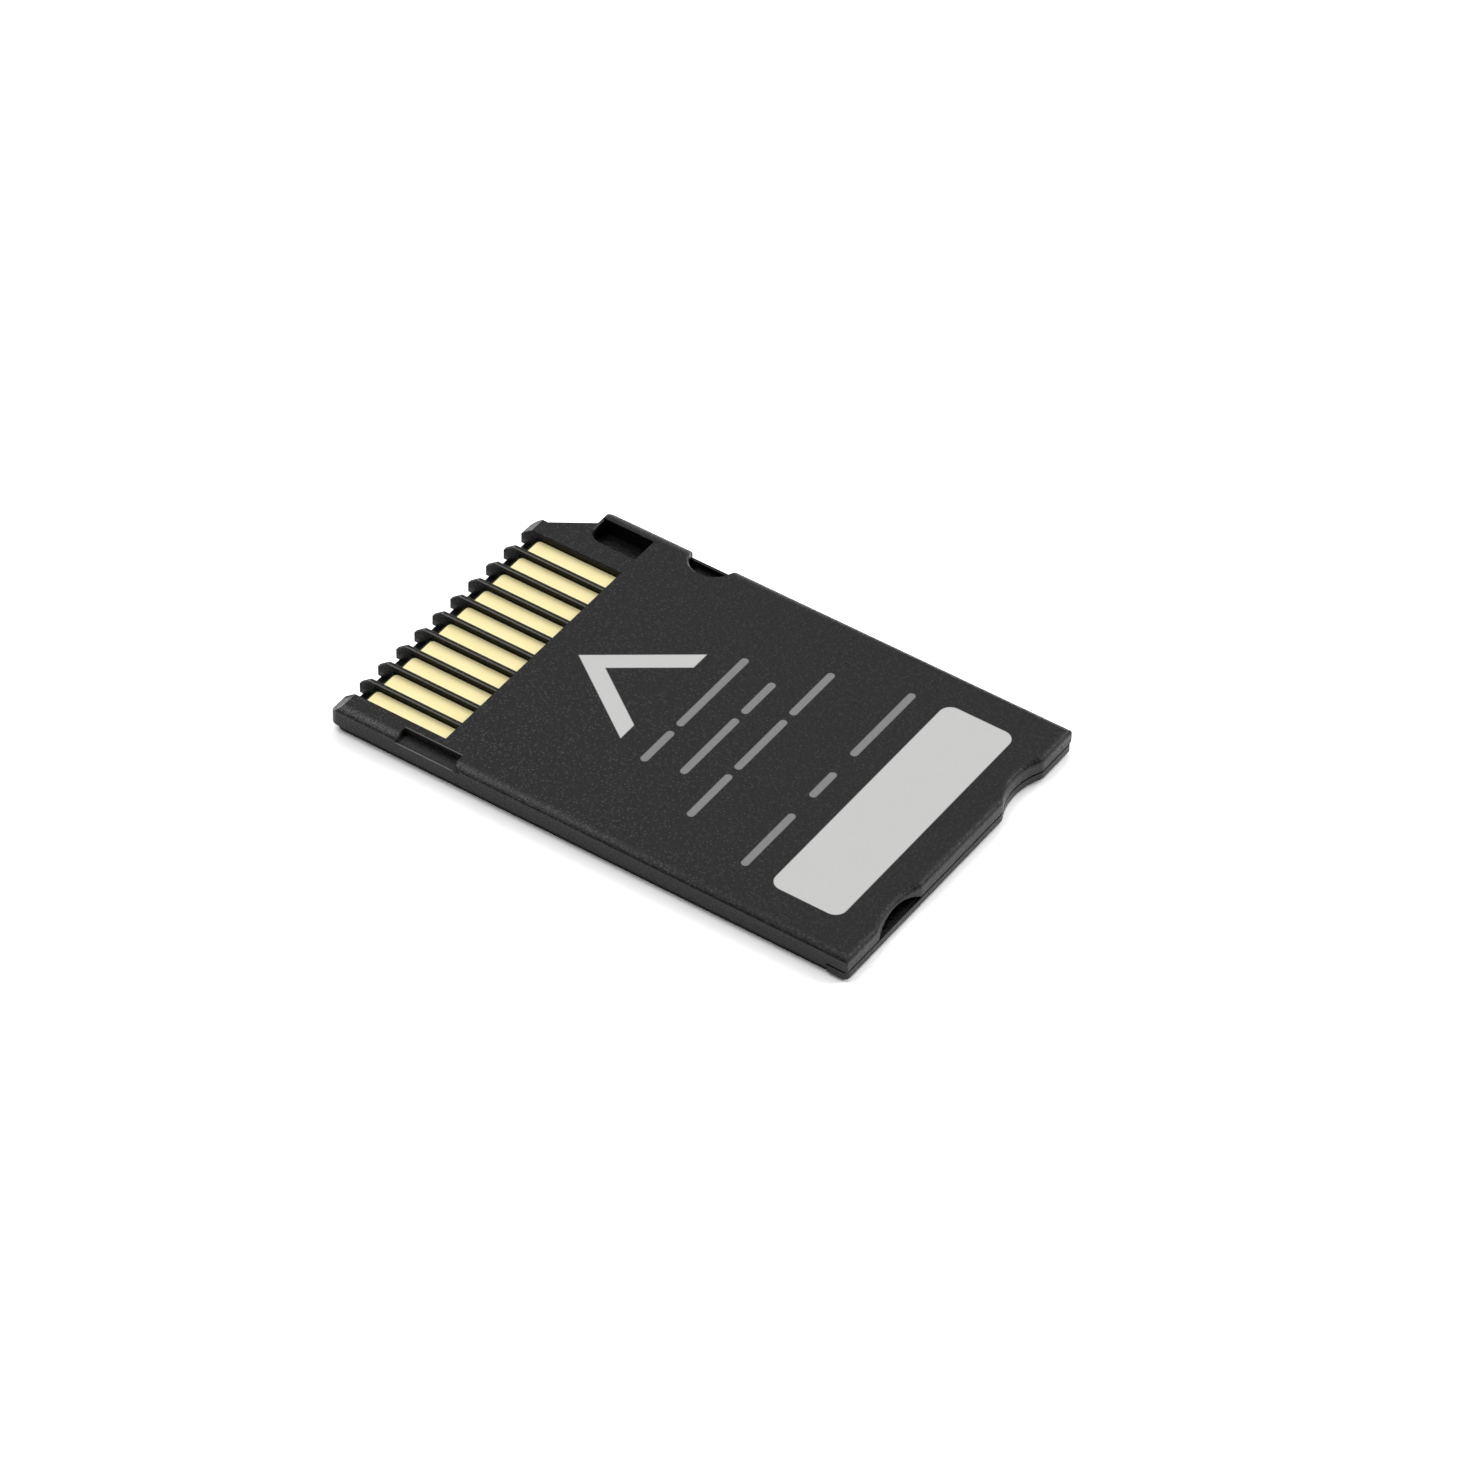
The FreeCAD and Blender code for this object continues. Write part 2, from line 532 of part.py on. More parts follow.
CONTROLLER_FRONT = f"({FRONT} - size.controller_front_inset + size.controller_side / 2)"
CONTROLLER_REAR = f"({CONTROLLER_FRONT} - size.controller_side)"
CONTROLLER_CENTRE = "(-size.controller_shift)"
MEMORY_REAR = f"({REAR} + size.rear_wall + size.memory_rear_gap)"
MEMORY_FRONT = f"({CONTROLLER_REAR} - size.chip_spacing - size.lead_reach)"
MEMORY_TOP = f"({BOARD_BOTTOM} - size.memory_standoff)"
MEMORY_SIDE = "((size.lead_count - 1) / 2 * size.lead_pitch + size.lead_width / 2 + size.lead_row_margin)"


def make_memory_chip():
    """Thin package under the board, with a row of bent leads moulded into each end."""
    body = new_body("memory_chip")
    outline = new_sketch(body, "memory_outline", height=MEMORY_TOP)
    draw_rectangle(outline, f"-{MEMORY_SIDE}", MEMORY_SIDE, MEMORY_REAR, MEMORY_FRONT)
    pad(body, outline, "memory_package", "size.memory_thickness", downwards=True)
    bottom = value(f"{MEMORY_TOP} - size.memory_thickness")
    round_edges(body, "memory_edges", "size.memory_draft",
                lambda edge: is_level(edge, bottom), "PartDesign::Chamfer")

    exit_height = f"({MEMORY_TOP} - size.memory_thickness / 2)"
    foot_height = f"({BOARD_BOTTOM} - size.lead_thickness)"
    half = "size.lead_thickness / 2"
    first_lead = "(-(size.lead_count - 1) / 2 * size.lead_pitch - size.lead_width / 2)"
    for word, end, way in (("rear", MEMORY_REAR, "-"), ("front", MEMORY_FRONT, "+")):
        lead = new_sketch(body, f"{word}_lead_profile", "YZ_Plane", first_lead)
        places = [
            (f"{end} {way} (-{half})", exit_height), (f"{end} {way} size.lead_shoulder", exit_height),
            (f"{end} {way} (size.lead_reach - size.lead_foot)", foot_height),
            (f"{end} {way} size.lead_reach", foot_height), (f"{end} {way} size.lead_reach", BOARD_BOTTOM),
            (f"{end} {way} (size.lead_reach - size.lead_foot - {half})", BOARD_BOTTOM),
            (f"{end} {way} (size.lead_shoulder - {half})", f"{exit_height} + size.lead_thickness"),
            (f"{end} {way} (-{half})", f"{exit_height} + size.lead_thickness")]
        draw_outline(lead, places if way == "+" else places[::-1])
        single = pad(body, lead, f"{word}_lead", "size.lead_width")
        row = body.newObject("PartDesign::LinearPattern", f"{word}_leads")
        row.Originals = [single]
        row.Direction = (lead, ["N_Axis"])
        row.setExpression("Length", "size.lead_pitch * (size.lead_count - 1)")
        row.setExpression("Occurrences", "size.lead_count")
        body.Tip = row
    return body


def make_controller_chip():
    body = new_body("controller_chip")
    outline = new_sketch(body, "controller_outline", height=f"{BOARD_BOTTOM} - size.solder_gap")
    draw_rectangle(outline, f"{CONTROLLER_CENTRE} - size.controller_side / 2",
                   f"{CONTROLLER_CENTRE} + size.controller_side / 2",
                   CONTROLLER_REAR, CONTROLLER_FRONT)
    pad(body, outline, "controller_package", "size.controller_thickness", downwards=True)
    bottom = value(f"{BOARD_BOTTOM} - size.solder_gap - size.controller_thickness")
    round_edges(body, "controller_edges", "size.controller_draft",
                lambda edge: is_level(edge, bottom), "PartDesign::Chamfer")
    return body


def make_small_part(name, height, across, along):
    """A capacitor or resistor under the board: a ceramic body with a metal cap on each end."""
    body = new_body(name)
    half_length = "size.chip_part_length / 2"
    half_width = "size.chip_part_width / 2"
    core = new_sketch(body, f"{name}_core_outline")
    draw_rectangle(core, f"-{half_length}", half_length, f"-{half_width} + size.end_cap_step",
                   f"{half_width} - size.end_cap_step")
    pad(body, core, f"{name}_core", f"{height} - size.end_cap_step", downwards=True)
    caps = new_sketch(body, f"{name}_cap_outlines")
    draw_rectangle(caps, f"-{half_length}", f"-{half_length} + size.end_cap_length",
                   f"-{half_width}", half_width)
    draw_rectangle(caps, f"{half_length} - size.end_cap_length", half_length,
                   f"-{half_width}", half_width)
    pad(body, caps, f"{name}_caps", height, downwards=True)
    body.setExpression("Placement.Base.x", across)
    body.setExpression("Placement.Base.y", along)
    body.setExpression("Placement.Base.z", f"{BOARD_BOTTOM} - size.solder_gap")
    return body


def make_small_parts():
    """Capacitors to the left of the controller and resistors to its right."""
    parts = []
    rows = ((-1, "capacitor", "size.capacitor_height", 6), (1, "resistor", "size.resistor_height", 4))
    for side, word, height, count in rows:
        for number in range(count):
            column, place = divmod(number, 3) if side < 0 else divmod(number, 2)
            per_column = 3 if side < 0 else 2
            start = f"({CONTROLLER_CENTRE} + {side} * (size.controller_side / 2 + size.small_part_gap))"
            across = f"{start} + {side * column} * size.small_part_pitch_across"
            middle = f"({CONTROLLER_FRONT} - size.controller_side / 2)"
            along = f"{middle} + ({place} - {(per_column - 1) / 2}) * size.small_part_pitch_along"
            parts.append(make_small_part(f"{word}_{number + 1:02d}", height, across, along))
    return parts


parts = [make_contact_side_cover(), make_label_side_cover(), make_circuit_board(), make_bonding_film()]
parts += [make_contact(number) for number in range(int(value("size.contact_count")))]
parts += [make_memory_chip(), make_controller_chip()]
parts += make_small_parts()
doc.recompute()

for item in doc.Objects:
    if "Invalid" in item.State or "Error" in item.State:
        raise RuntimeError(f"{item.Name} failed: {item.State}")
for part in parts:
    if part.Shape.isNull() or not part.Shape.isValid():
        raise RuntimeError(f"{part.Label} has no valid shape")

os.makedirs("parts", exist_ok=True)
for part in parts:
    part.Shape.exportStep(f"parts/{part.Label}.step")
    print(f"{part.Label}: {len(part.Shape.Solids)} solid(s), {part.Shape.Volume:.4f} mm3")
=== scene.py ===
import bpy
import math
from mathutils import Matrix, Vector


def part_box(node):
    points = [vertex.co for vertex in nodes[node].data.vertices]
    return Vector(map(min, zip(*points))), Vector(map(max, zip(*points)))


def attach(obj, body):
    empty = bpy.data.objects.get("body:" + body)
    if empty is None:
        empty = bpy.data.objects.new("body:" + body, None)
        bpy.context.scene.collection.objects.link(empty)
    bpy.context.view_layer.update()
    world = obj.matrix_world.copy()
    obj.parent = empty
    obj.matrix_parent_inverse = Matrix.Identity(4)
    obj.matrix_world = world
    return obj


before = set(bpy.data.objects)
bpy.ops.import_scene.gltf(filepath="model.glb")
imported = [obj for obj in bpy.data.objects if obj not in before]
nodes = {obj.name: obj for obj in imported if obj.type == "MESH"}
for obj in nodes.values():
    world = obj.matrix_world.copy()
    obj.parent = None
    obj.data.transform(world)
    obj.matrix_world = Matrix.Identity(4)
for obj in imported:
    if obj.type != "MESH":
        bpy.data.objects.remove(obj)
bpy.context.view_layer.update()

MM = 0.001

# Places on the card that the print and the finishes follow, in metres
CARD_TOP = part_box("contact_side_cover")[1].z
CARD_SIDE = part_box("contact_side_cover")[1].x
SLOT_END_GAP = 0.03 * MM
SLOT_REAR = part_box("contact_02")[0].y - SLOT_END_GAP
RIB_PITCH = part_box("contact_03")[0].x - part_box("contact_02")[0].x
FIRST_RIB = (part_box("contact_01")[1].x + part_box("contact_02")[0].x) / 2
LAST_RIB = (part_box("contact_09")[1].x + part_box("contact_10")[0].x) / 2
RIB_HALF_WIDTH = 0.1125 * MM
RECESS_FRONT = 11.4 * MM
RECESS_REAR = 7.9 * MM
RECESS_INNER = -9.12 * MM
RECESS_DEPTH = 0.36 * MM
RECESS_FLOOR = CARD_TOP - RECESS_DEPTH

# Camera at the photograph's place, over the card's left rear corner
CAMERA_AZIMUTH = math.radians(-56.324)
CAMERA_ELEVATION = math.radians(43.195)
CAMERA_ROLL = math.radians(1.263)
CAMERA_DISTANCE = 379.23 * MM
CAMERA_SLIDE = 1.737 * MM
CAMERA_RISE = 0.240 * MM
CAMERA_CLIP = 0.01
PHOTO_WIDTH = 1470
FOCAL_PIXELS = 7640.256
SENSOR = 36.0


def place_camera():
    back = Vector((math.sin(CAMERA_AZIMUTH) * math.cos(CAMERA_ELEVATION),
                   -math.cos(CAMERA_AZIMUTH) * math.cos(CAMERA_ELEVATION),
                   math.sin(CAMERA_ELEVATION)))
    level_right = (-back).cross(Vector((0, 0, 1))).normalized()
    level_up = level_right.cross(-back)
    right = level_right * math.cos(CAMERA_ROLL) + level_up * math.sin(CAMERA_ROLL)
    up = level_up * math.cos(CAMERA_ROLL) - level_right * math.sin(CAMERA_ROLL)
    data = bpy.data.cameras.new("camera")
    data.sensor_width = SENSOR
    data.lens = FOCAL_PIXELS / PHOTO_WIDTH * SENSOR
    data.clip_start = CAMERA_CLIP
    camera = bpy.data.objects.new("camera", data)
    turn = Matrix((right, up, back)).transposed().to_4x4()
    camera.matrix_world = Matrix.Translation(
        back * CAMERA_DISTANCE + right * CAMERA_SLIDE + up * CAMERA_RISE) @ turn
    bpy.context.scene.collection.objects.link(camera)
    bpy.context.scene.camera = camera


# Node maths
NOISE_MIDDLE = 0.5


class Value:
    """A number socket of a node tree that can be used in Python expressions."""

    def __init__(self, maker, socket):
        self.maker = maker
        self.socket = socket

    def _math(self, operation, *operands):
        return self.maker.node("ShaderNodeMath", {"operation": operation}, dict(enumerate(operands)))

    def __add__(self, other):
        return self._math("ADD", self, other)

    def __radd__(self, other):
        return self._math("ADD", other, self)

    def __sub__(self, other):
        return self._math("SUBTRACT", self, other)

    def __rsub__(self, other):
        return self._math("SUBTRACT", other, self)

    def __mul__(self, other):
        return self._math("MULTIPLY", self, other)

    def __truediv__(self, other):
        return self._math("DIVIDE", self, other)

    def __gt__(self, other):
        return self._math("GREATER_THAN", self, other)

    def __lt__(self, other):
        return self._math("LESS_THAN", self, other)

    def abs(self):
        return self._math("ABSOLUTE", self)

    def sqrt(self):
        return self._math("SQRT", self)

    def at_least(self, other):
        return self._math("MAXIMUM", self, other)

    def at_most(self, other):
        return self._math("MINIMUM", self, other)

    def repeat(self, length):
        """Distance to the nearest multiple of a length."""
        return self._math("PINGPONG", self, length / 2)

    def clamped(self):
        return self.at_least(0.0).at_most(1.0)

    def swing(self, amount):
        """Noise turned into a change of up to half the amount, up or down."""
        return (self - NOISE_MIDDLE) * amount


class NodeMaker:
    """Makes the nodes of a tree, one call each."""

    def __init__(self, tree):
        self.tree = tree

    def node(self, kind, settings, inputs, output=0):
        made = self.tree.nodes.new(kind)
        for name, setting in settings.items():
            setattr(made, name, setting)
        for key, given in inputs.items():
            self.connect(given, made.inputs[key])
        return Value(self, made.outputs[output])

    def connect(self, given, socket):
        given = given.socket if isinstance(given, Value) else given
        if isinstance(given, bpy.types.NodeSocket):
            self.tree.links.new(given, socket)
        else:
            socket.default_value = given


USUAL_IOR = 1.45


class Shader(NodeMaker):
    """A material whose patterns read the place on the object."""

    def __init__(self, name):
        self.material = bpy.data.materials.new(name)
        self.material.use_nodes = True
        super().__init__(self.material.node_tree)
        self.surface = self.tree.nodes["Principled BSDF"]
        self.place = self.node("ShaderNodeTexCoord", {}, {}, "Object")
        self.x, self.y, self.z = (
            self.node("ShaderNodeSeparateXYZ", {}, {0: self.place}, axis) for axis in range(3))

    def noise(self, size, detail=2.0, roughness=0.5, stretch=(1, 1, 1)):
        """Soft noise from 0 to 1 with features of about the given size in metres."""
        scaled = self.node("ShaderNodeVectorMath", {"operation": "MULTIPLY"}, {0: self.place, 1: stretch})
        return self.node("ShaderNodeTexNoise", {"noise_dimensions": "3D"}, {
            "Vector": scaled, "Scale": 1 / size, "Detail": detail, "Roughness": roughness})

    def cells(self, size, output="Distance"):
        """Distance from the middle of each cell of the given size, or with "Color" a chance for each."""
        return self.node("ShaderNodeTexVoronoi", {}, {"Vector": self.place, "Scale": 1 / size}, output)

    def mix(self, amount, first, second):
        """First colour where amount is 0, second where it is 1."""
        return self.node("ShaderNodeMix", {"data_type": "RGBA"}, {0: amount, 6: first, 7: second}, 2)

    def brighten(self, colour, amount):
        """A colour multiplied by a number that varies over the surface."""
        colour = colour[:3] if isinstance(colour, tuple) else colour
        return self.node("ShaderNodeVectorMath", {"operation": "SCALE"}, {0: colour, "Scale": amount})

    def band(self, value, low, high, soft):
        """1 between two levels, falling to 0 over a soft edge."""
        middle = (low + high) / 2
        reach = (high - low) / 2
        return ((reach - (value - middle).abs()) / soft + 0.5).clamped()

    def rounded_box(self, centre, size, radius, soft):
        """1 inside a rectangle with rounded corners, seen along Z, and 0 outside."""
        out_x = ((self.x - centre[0]).abs() - (size[0] / 2 - radius)).at_least(0.0)
        out_y = ((self.y - centre[1]).abs() - (size[1] / 2 - radius)).at_least(0.0)
        distance = (out_x * out_x + out_y * out_y).sqrt() - radius
        return (0.5 - distance / soft).clamped()

    def finish(self, colour, roughness, bump=None, strength=1.0, depth=0.01 * MM,
               metallic=0.0, ior=USUAL_IOR):
        self.connect(colour, self.surface.inputs["Base Color"])
        self.connect(roughness, self.surface.inputs["Roughness"])
        self.connect(metallic, self.surface.inputs["Metallic"])
        self.surface.inputs["IOR"].default_value = ior
        if bump is not None:
            normal = self.node("ShaderNodeBump", {}, {
                "Strength": strength, "Distance": depth, "Height": bump}, "Normal")
            self.connect(normal, self.surface.inputs["Normal"])
        return self.material


def srgb(red, green, blue):
    """A linear colour from screen values of 0 to 255."""
    linear = [(v / 255 / 12.92) if v <= 10 else ((v / 255 + 0.055) / 1.055) ** 2.4
              for v in (red, green, blue)]
    return (*linear, 1.0)


# Print on the contact side, in millimetres from the card's middle
PANEL_CENTRE = (0.01, -11.495)
PANEL_SIZE = (15.70, 4.124)
PANEL_RADIUS = 0.65
ARROW_TIP = (0.15, 7.5)
ARROW_HALF_WIDTH = 3.75
ARROW_LENGTH = 5.2
ARROW_STROKE = 0.95
RULE_ROWS = (
    (0.5, ((-4.3, -1.7), (-1.2, 4.8))),
    (-1.6, ((-3.9, 0.9), (1.4, 4.1))),
    (-3.6, ((-6.2, -2.6), (-2.1, 2.2), (2.7, 6.4))),
    (-7.7, ((-7.5, -3.1), (-1.6, 0.5), (2.0, 7.5))),
)
RULE_HEIGHT = 0.42

# Soft edge of the print, depth that still counts as the top face, half width of thin lines such as the
# painted highlight lines, in metres
PRINT_EDGE = 0.05 * MM
TOP_FACE_DEPTH = 0.02 * MM
EDGE_LINE = 0.04 * MM


def print_masks(shader):
    """Masks of the top face, of the light panel and arrow, and of the grey bars."""
    on_top = shader.z > (CARD_TOP - TOP_FACE_DEPTH)
    centre = tuple(value * MM for value in PANEL_CENTRE)
    size = tuple(value * MM for value in PANEL_SIZE)
    panel = shader.rounded_box(centre, size, PANEL_RADIUS * MM, PRINT_EDGE)

    across = (shader.x - ARROW_TIP[0] * MM).abs()
    along = ARROW_TIP[1] * MM - shader.y
    slope = ARROW_LENGTH / ARROW_HALF_WIDTH
    lean = math.hypot(1.0, slope)
    to_line = (along - across * slope) / lean
    arrow = shader.band(to_line, 0.0, ARROW_STROKE * MM, PRINT_EDGE)
    arrow = arrow * shader.band(along, -ARROW_LENGTH * MM, ARROW_LENGTH * MM, PRINT_EDGE)

    rules = None
    for along_card, spans in RULE_ROWS:
        for start, end in spans:
            middle = ((start + end) / 2 * MM, along_card * MM)
            bar = shader.rounded_box(middle, ((end - start) * MM, RULE_HEIGHT * MM),
                                     RULE_HEIGHT / 2 * MM, PRINT_EDGE)
            rules = bar if rules is None else rules.at_least(bar)
    return on_top, panel, arrow, rules


def slot_walls(shader):
    """The walls of the contact slots, where the mould is smooth and little light comes; they get a
    painted shade tinted with a painted reflection of the gold.
    """
    across = shader.band(shader.x, FIRST_RIB - RIB_PITCH, LAST_RIB + RIB_PITCH, EDGE_LINE)
    along = shader.y > (SLOT_REAR - EDGE_LINE)
    return across * along * (shader.z < (CARD_TOP - 2 * EDGE_LINE)) * (shader.z > (CARD_TOP / 2))


def thin_line(shader, value, level):
    """1 within a thin, softly edged line at one level."""
    return shader.band(value, level - EDGE_LINE, level + EDGE_LINE, EDGE_LINE / 2)


def recess_masks(shader):
    """The lock recess's inner wall, and its floor."""
    along = shader.band(shader.y, RECESS_REAR - EDGE_LINE, RECESS_FRONT + EDGE_LINE, EDGE_LINE)
    wall = thin_line(shader, shader.x, RECESS_INNER) * along
    wall = wall * (shader.z < (CARD_TOP - EDGE_LINE)) * (shader.z > (RECESS_FLOOR + EDGE_LINE))
    floor = thin_line(shader, shader.z, RECESS_FLOOR) * along
    floor = floor * (shader.x < (RECESS_INNER - EDGE_LINE)) * (shader.x > (EDGE_LINE - CARD_SIDE))
    return wall, floor


def painted_edge_highlights(shader):
    """Thin painted highlight lines along the ribs' upper edges and the lock recess's outer and upper
    edge.
    """
    rib = ((shader.x - FIRST_RIB).repeat(RIB_PITCH) - RIB_HALF_WIDTH).abs() < EDGE_LINE
    among_ribs = shader.band(shader.x, FIRST_RIB - RIB_PITCH / 2, LAST_RIB + RIB_PITCH / 2, EDGE_LINE)
    ribs = rib * among_ribs * (shader.y > SLOT_REAR) * (shader.z > (CARD_TOP - 2 * EDGE_LINE))
    lip = thin_line(shader, shader.z, RECESS_FLOOR) * (shader.x < (EDGE_LINE - CARD_SIDE))
    brow = thin_line(shader, shader.x, RECESS_INNER) * (shader.z > (CARD_TOP - EDGE_LINE))
    lip = lip.at_least(brow) * (shader.y < RECESS_FRONT) * (shader.y > RECESS_REAR)
    return ribs, lip


# Plastic of both covers: sizes in its grain, then its colour and how much each noise changes it
GRAIN_SIZE = 0.12 * MM
PIT_SIZE = 0.13 * MM
FROST_SIZE = 0.045 * MM
CLOUD_SIZE = 1.6 * MM
FLOW_SIZE = 6.0 * MM
GRAIN_DEPTH = 0.018 * MM
PIT_HEIGHT = 0.6
PLASTIC = srgb(17, 17, 18)
PLASTIC_TONE = 0.3
DARKEST_TONE = 0.1
GRAIN_TONE = 3.2
CLOUD_TONE = 0.14
FLOW_TONE = 0.10
PLASTIC_ROUGHNESS = 0.34
GRAIN_ROUGHNESS = 0.35
PIT_MIDDLE = 0.4
PIT_ROUGHNESS = 0.25
COVER_IOR = 1.33

# Painted glints near the top, in some pits only, painted stronger towards the front left corner
UPPER_DEPTH = 0.45 * MM
UPPER_FADE = 0.2 * MM
GLINT_REACH = 0.48
GLINT_FADE = 0.2
GLINT_CHANCE = 0.42
GLINT_CONTRAST = 3.0
GLINT_TONE = 3.4
CORNER_GLINT_TONE = 4.4
CORNER_GLINT_FADE = 22 * MM
CORNER_GLINT_START = 0.3

# Painted sheen: a light speckled band on the upper bevels of the long sides, fading to the rear
BEVEL_INNER = 0.42 * MM
BEVEL_OUTER = 0.10 * MM
BEVEL_FADE = 0.26 * MM
BEVEL_PAINTED_SHEEN = srgb(98, 98, 97)
SHEEN_START = 6 * MM
SHEEN_FADE = 18 * MM
FROST_CHANCE = 0.42
FROST_CONTRAST = 5.0

# Painted light and shade on walls, floors and edges of the printed cover: painted light on the recess
# wall, painted shade on the recess floor and slot walls, painted highlights along edges
RECESS_WALL_PAINTED_LIGHT = srgb(58, 56, 52)
RECESS_WALL_LIGHT_SHARE = 0.5
RECESS_FLOOR_SHADE = 0.45
SLOT_WALL_PAINTED_SHADE = srgb(11, 8, 3)
SLOT_ROUGHNESS = 0.25
RIB_EDGE_HIGHLIGHT = srgb(126, 126, 122)
LIP_EDGE_HIGHLIGHT = srgb(104, 104, 104)

# Inks of the print
LIGHT_INK = srgb(203, 203, 202)
LIGHT_INK_GRAIN = 0.06
LIGHT_INK_CLOUDS = 0.03
GREY_INK = srgb(138, 138, 138)
GREY_INK_GRAIN = 0.35
GREY_INK_SHARE = 0.92
INK_SMOOTHING = 0.72
INK_HEIGHT = 0.25
INK_ROUGHNESS = 0.62


def cover_plastic(name, printed):
    """Dark moulded plastic with a spark-eroded grain, painted glints that grow stronger towards the front
    left corner, and a painted sheen on the side bevels.
    """
    shader = Shader(name)
    grain = shader.noise(GRAIN_SIZE, detail=3.0, roughness=0.6)
    frost = shader.noise(FROST_SIZE, detail=1.0)
    clouds = shader.noise(CLOUD_SIZE, detail=2.0)
    flow = shader.noise(FLOW_SIZE, detail=1.0)
    pits = shader.cells(PIT_SIZE)
    chance = shader.cells(PIT_SIZE, "Color")
    upper = ((shader.z - (CARD_TOP - UPPER_DEPTH)) / UPPER_FADE).clamped()
    # Painted glints: specks brightened in some pits near the top, stronger towards the front left corner
    towards_corner = ((shader.y - shader.x) / CORNER_GLINT_FADE + CORNER_GLINT_START).clamped()
    glints = ((GLINT_REACH - pits) / GLINT_FADE).clamped()
    glints = glints * ((chance - GLINT_CHANCE) * GLINT_CONTRAST).clamped() * upper
    # Painted sheen on the upper bevels of the long sides, speckled, fading to the rear
    bevel = shader.band(shader.x.abs(), CARD_SIDE - BEVEL_INNER, CARD_SIDE - BEVEL_OUTER, BEVEL_FADE)
    sheen_towards_front = ((shader.y + SHEEN_START) / SHEEN_FADE).clamped()
    bevel = bevel * upper * sheen_towards_front * ((frost - FROST_CHANCE) * FROST_CONTRAST).clamped()
    height = grain + pits * PIT_HEIGHT
    tone = PLASTIC_TONE + grain.swing(GRAIN_TONE) + clouds.swing(CLOUD_TONE) + flow.swing(FLOW_TONE)
    tone = tone.at_least(DARKEST_TONE) + glints * (GLINT_TONE + towards_corner * CORNER_GLINT_TONE)
    colour = shader.brighten(PLASTIC, tone)
    colour = shader.mix(bevel, colour, BEVEL_PAINTED_SHEEN)
    roughness = PLASTIC_ROUGHNESS + grain.swing(GRAIN_ROUGHNESS) + (pits - PIT_MIDDLE) * PIT_ROUGHNESS
    roughness = roughness.clamped()
    if not printed:
        return shader.finish(colour, roughness, height, depth=GRAIN_DEPTH, ior=COVER_IOR)

    recess_wall, recess_floor = recess_masks(shader)
    # Painted light on the lock recess's inner wall and painted shade on its floor
    colour = shader.mix(recess_wall * RECESS_WALL_LIGHT_SHARE, colour, RECESS_WALL_PAINTED_LIGHT)
    colour = shader.brighten(colour, 1.0 - recess_floor * RECESS_FLOOR_SHADE)
    # Painted shade on the slot walls, tinted brown as a painted reflection of the gold
    in_slot = slot_walls(shader)
    colour = shader.mix(in_slot, colour, SLOT_WALL_PAINTED_SHADE)
    roughness = roughness + in_slot * SLOT_ROUGHNESS
    # Painted highlights along the ribs' upper edges and the lock recess's edges
    ribs, lip = painted_edge_highlights(shader)
    colour = shader.mix(ribs, colour, RIB_EDGE_HIGHLIGHT)
    colour = shader.mix(lip, colour, LIP_EDGE_HIGHLIGHT)

    on_top, panel, arrow, rules = print_masks(shader)
    light = panel.at_least(arrow) * on_top
    grey = rules * on_top
    speckle = 1.0 + grain.swing(LIGHT_INK_GRAIN) + clouds.swing(LIGHT_INK_CLOUDS)
    light_ink = shader.brighten(LIGHT_INK, speckle)
    grey_ink = shader.brighten(GREY_INK, 1.0 + grain.swing(GREY_INK_GRAIN))
    colour = shader.mix(grey * GREY_INK_SHARE, colour, grey_ink)
    colour = shader.mix(light, colour, light_ink)
    ink = light.at_least(grey)
    height = height * (1.0 - ink * INK_SMOOTHING) + ink * INK_HEIGHT
    roughness = roughness * (1.0 - ink) + ink * INK_ROUGHNESS
    return shader.finish(colour, roughness, height, depth=GRAIN_DEPTH, ior=COVER_IOR)


# Gold of the contacts
STREAK_SIZE = 0.07 * MM
PATCH_SIZE = 1.1 * MM
PALE_GOLD = srgb(254, 244, 198)
DEEP_GOLD = srgb(250, 238, 180)
STREAK_TONE = 0.10
GOLD_ROUGHNESS = 0.66
STREAK_ROUGHNESS = 0.14
PATCH_ROUGHNESS = 0.06
STREAK_DEPTH = 0.003 * MM
GOLD_METALLIC = 0.7


def contact_gold(name):
    """Gold plating with faint streaks along the contact."""
    shader = Shader(name)
    streaks = shader.noise(STREAK_SIZE, detail=3.0, stretch=(1, 0.03, 1))
    patches = shader.noise(PATCH_SIZE, detail=2.0, stretch=(1, 0.5, 1))
    colour = shader.mix(patches, PALE_GOLD, DEEP_GOLD)
    colour = shader.brighten(colour, 1.0 + streaks.swing(STREAK_TONE))
    roughness = GOLD_ROUGHNESS + streaks.swing(STREAK_ROUGHNESS) + patches.swing(PATCH_ROUGHNESS)
    return shader.finish(colour, roughness, streaks, strength=0.25, depth=STREAK_DEPTH,
                         metallic=GOLD_METALLIC)


# Lacquer, tracks and laminate of the board
WEAVE_PITCH = 0.4 * MM
WANDER_SIZE = 2.4 * MM
WANDER_REACH = 1.5 * MM
TRACK_PITCH = 0.6 * MM
TRACK_HALF_WIDTH = 0.09 * MM
TRACK_EDGE = 0.03 * MM
LACQUER = srgb(14, 30, 22)
LACQUER_OVER_TRACK = srgb(24, 48, 34)
LAMINATE = srgb(96, 96, 60)
LACQUER_THICKNESS = 0.03 * MM
LACQUER_EDGE = 0.01 * MM
BOARD_EDGE = 0.02 * MM
TRACK_HEIGHT = 0.8
WEAVE_HEIGHT = 0.1
BOARD_DEPTH = 0.01 * MM
BOARD_ROUGHNESS = 0.34
WANDER_ROUGHNESS = 0.1
LAMINATE_TONE = 0.8
WEAVE_TONE = 0.2


